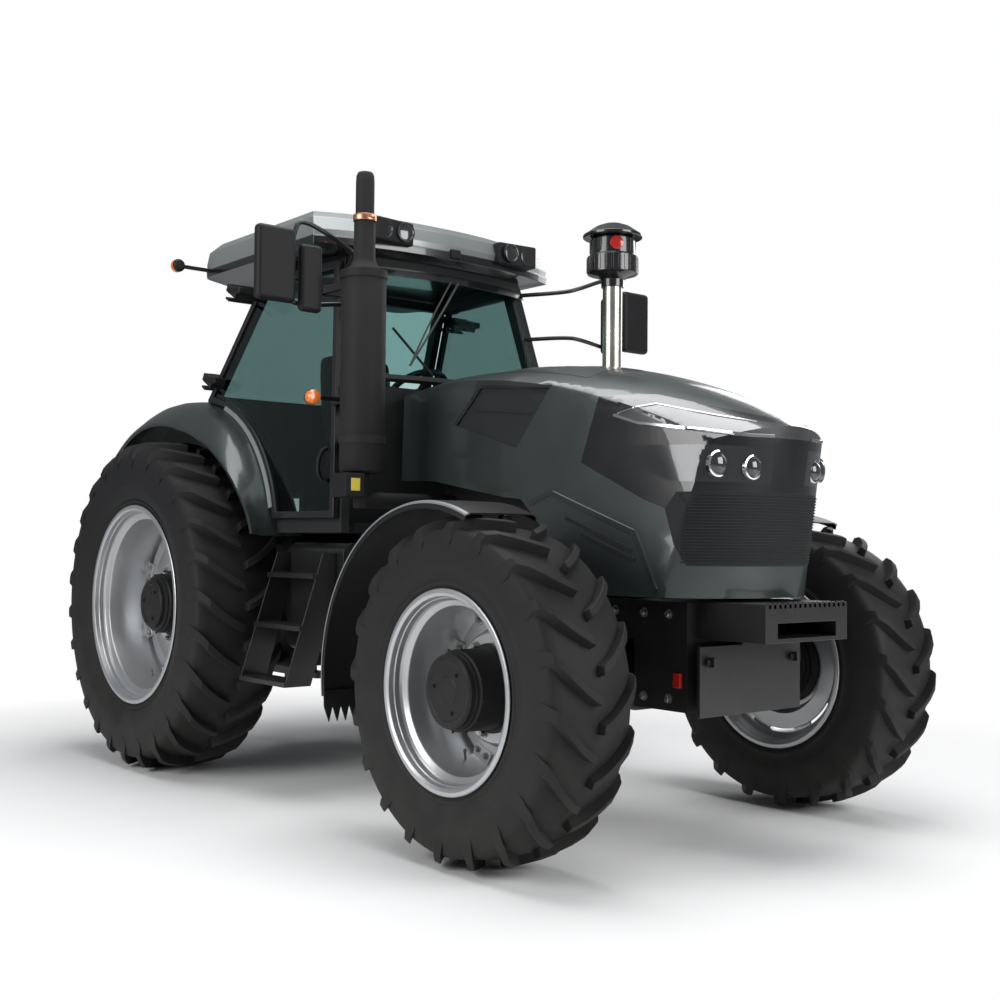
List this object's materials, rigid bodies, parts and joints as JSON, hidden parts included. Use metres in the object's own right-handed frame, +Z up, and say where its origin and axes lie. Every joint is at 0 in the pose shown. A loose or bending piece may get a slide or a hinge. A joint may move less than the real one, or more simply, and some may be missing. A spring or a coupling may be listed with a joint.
{
  "type": "farm tractor",
  "caption": "Row-crop farm tractor with a glazed cab, hinged hood and doors, steered front wheels on a tie rod, and a rear three-point linkage with drawbar.",
  "frame": {"origin": "on the ground below the middle of the machine's overall length and width", "axes": "+X forward, +Y to the driver's left, +Z up"},
  "size_m": [4.9359, 2.65, 3.1],
  "materials": {
    "body_paint": "dark grey-green metallic gloss",
    "roof_paint": "silver-grey gloss",
    "black_plastic": "fine grained moulding",
    "gloss_black": "gloss",
    "black_metal": "satin black",
    "cast_black": "painted casting",
    "rim_silver": "silver lacquer",
    "tyre_rubber": "matt rubber",
    "cab_tint": "tinted clear glass",
    "lamp_glass": "clear lens",
    "amber_lens": "ribbed lens",
    "seat_cloth": "woven",
    "bright_steel": "machined",
    "chrome_pipe": "polished"
  },
  "bodies": {
    "chassis": {"engine_block": "cast_black", "front_frame": "cast_black", "transmission": "cast_black", "drawbar": "black_metal", "weight_carrier": "cast_black", "side_tanks": "black_plastic", "steps": "black_metal", "cab_frame": "black_metal", "cab_glass": "cab_tint", "roof": "roof_paint", "seat": "seat_cloth", "steering_console": "black_plastic", "rear_fenders": "body_paint", "exhaust": "black_metal", "work_lamps": "black_plastic", "signal_lamps": "amber_lens", "mirrors": "black_plastic", "front_axle": "cast_black"},
    "knuckle_left": {"knuckle_left": "cast_black", "front_mudguard_left": "black_plastic"},
    "knuckle_right": {"knuckle_right": "cast_black", "front_mudguard_right": "black_plastic"},
    "tie_rod": {"tie_rod": "black_metal"},
    "hood": {"hood": "body_paint", "hood_cheeks": "gloss_black", "front_mask": "black_plastic", "grille": "black_plastic", "headlamps": "lamp_glass", "hood_vents": "black_plastic", "intake_stack": "chrome_pipe"},
    "door_left": {"door_left": "black_plastic", "door_glass_left": "cab_tint"},
    "door_right": {"door_right": "black_plastic", "door_glass_right": "cab_tint"},
    "lift_arms": {"lift_arms": "black_metal"},
    "lower_links": {"lower_links": "black_metal"},
    "lift_rods": {"lift_rods": "bright_steel"},
    "wheel_front_left": {"tyre_front_left": "tyre_rubber", "rim_front_left": "rim_silver", "hub_front_left": "cast_black"},
    "wheel_front_right": {"tyre_front_right": "tyre_rubber", "rim_front_right": "rim_silver", "hub_front_right": "cast_black"},
    "wheel_rear_left": {"tyre_rear_left": "tyre_rubber", "rim_rear_left": "rim_silver", "hub_rear_left": "cast_black"},
    "wheel_rear_right": {"tyre_rear_right": "tyre_rubber", "rim_rear_right": "rim_silver", "hub_rear_right": "cast_black"}
  },
  "joints": [
    {"name": "steer_left", "type": "hinge", "parent": "chassis", "child": "knuckle_left", "pos_m": [1.65, 0.8, 0.7], "axis": [0, 0, 1], "range_deg": [-35, 35]},
    {"name": "steer_right", "type": "hinge", "parent": "chassis", "child": "knuckle_right", "pos_m": [1.65, -0.8, 0.7], "axis": [0, 0, 1], "range_deg": [-35, 35]},
    {"name": "tie_rod_pivot", "type": "hinge", "parent": "knuckle_left", "child": "tie_rod", "pos_m": [1.41, 0.8, 0.656], "axis": [0, 0, 1], "range_deg": [-35, 35]},
    {"name": "spin_front_left", "type": "hinge", "parent": "knuckle_left", "child": "wheel_front_left", "pos_m": [1.65, 1.01, 0.7], "axis": [0, 1, 0], "continuous": true},
    {"name": "spin_front_right", "type": "hinge", "parent": "knuckle_right", "child": "wheel_front_right", "pos_m": [1.65, -1.01, 0.7], "axis": [0, 1, 0], "continuous": true},
    {"name": "spin_rear_left", "type": "hinge", "parent": "chassis", "child": "wheel_rear_left", "pos_m": [-1.23, 1, 0.925], "axis": [0, 1, 0], "continuous": true},
    {"name": "spin_rear_right", "type": "hinge", "parent": "chassis", "child": "wheel_rear_right", "pos_m": [-1.23, -1, 0.925], "axis": [0, 1, 0], "continuous": true},
    {"name": "door_left_hinge", "type": "hinge", "parent": "chassis", "child": "door_left", "pos_m": [-1.13594, 0.829, 2.21], "axis": [0.4961, 0, 0.8682], "range_deg": [0, 70]},
    {"name": "door_right_hinge", "type": "hinge", "parent": "chassis", "child": "door_right", "pos_m": [-1.13594, -0.829, 2.21], "axis": [-0.4961, 0, -0.8682], "range_deg": [0, 70]},
    {"name": "hood_hinge", "type": "hinge", "parent": "chassis", "child": "hood", "pos_m": [0.27, 0, 2.04], "axis": [0, -1, 0], "range_deg": [0, 40]},
    {"name": "lift", "type": "hinge", "parent": "chassis", "child": "lift_arms", "pos_m": [-1.33, 0, 1.3], "axis": [0, 1, 0], "range_deg": [-15, 24]},
    {"name": "lower_link_pivot", "type": "hinge", "parent": "chassis", "child": "lower_links", "pos_m": [-1.33, 0, 0.58], "axis": [0, 1, 0], "range_deg": [-15, 24]},
    {"name": "lift_rod_pivot", "type": "hinge", "parent": "lift_arms", "child": "lift_rods", "pos_m": [-1.83, 0, 1.3], "axis": [0, 1, 0], "range_deg": [-24, 15]}
  ],
  "couplings": [
    {"joint": "steer_right", "follows": "steer_left", "ratio": 1},
    {"joint": "tie_rod_pivot", "follows": "steer_left", "ratio": -1},
    {"joint": "lower_link_pivot", "follows": "lift", "ratio": 1},
    {"joint": "lift_rod_pivot", "follows": "lift", "ratio": -1}
  ]
}
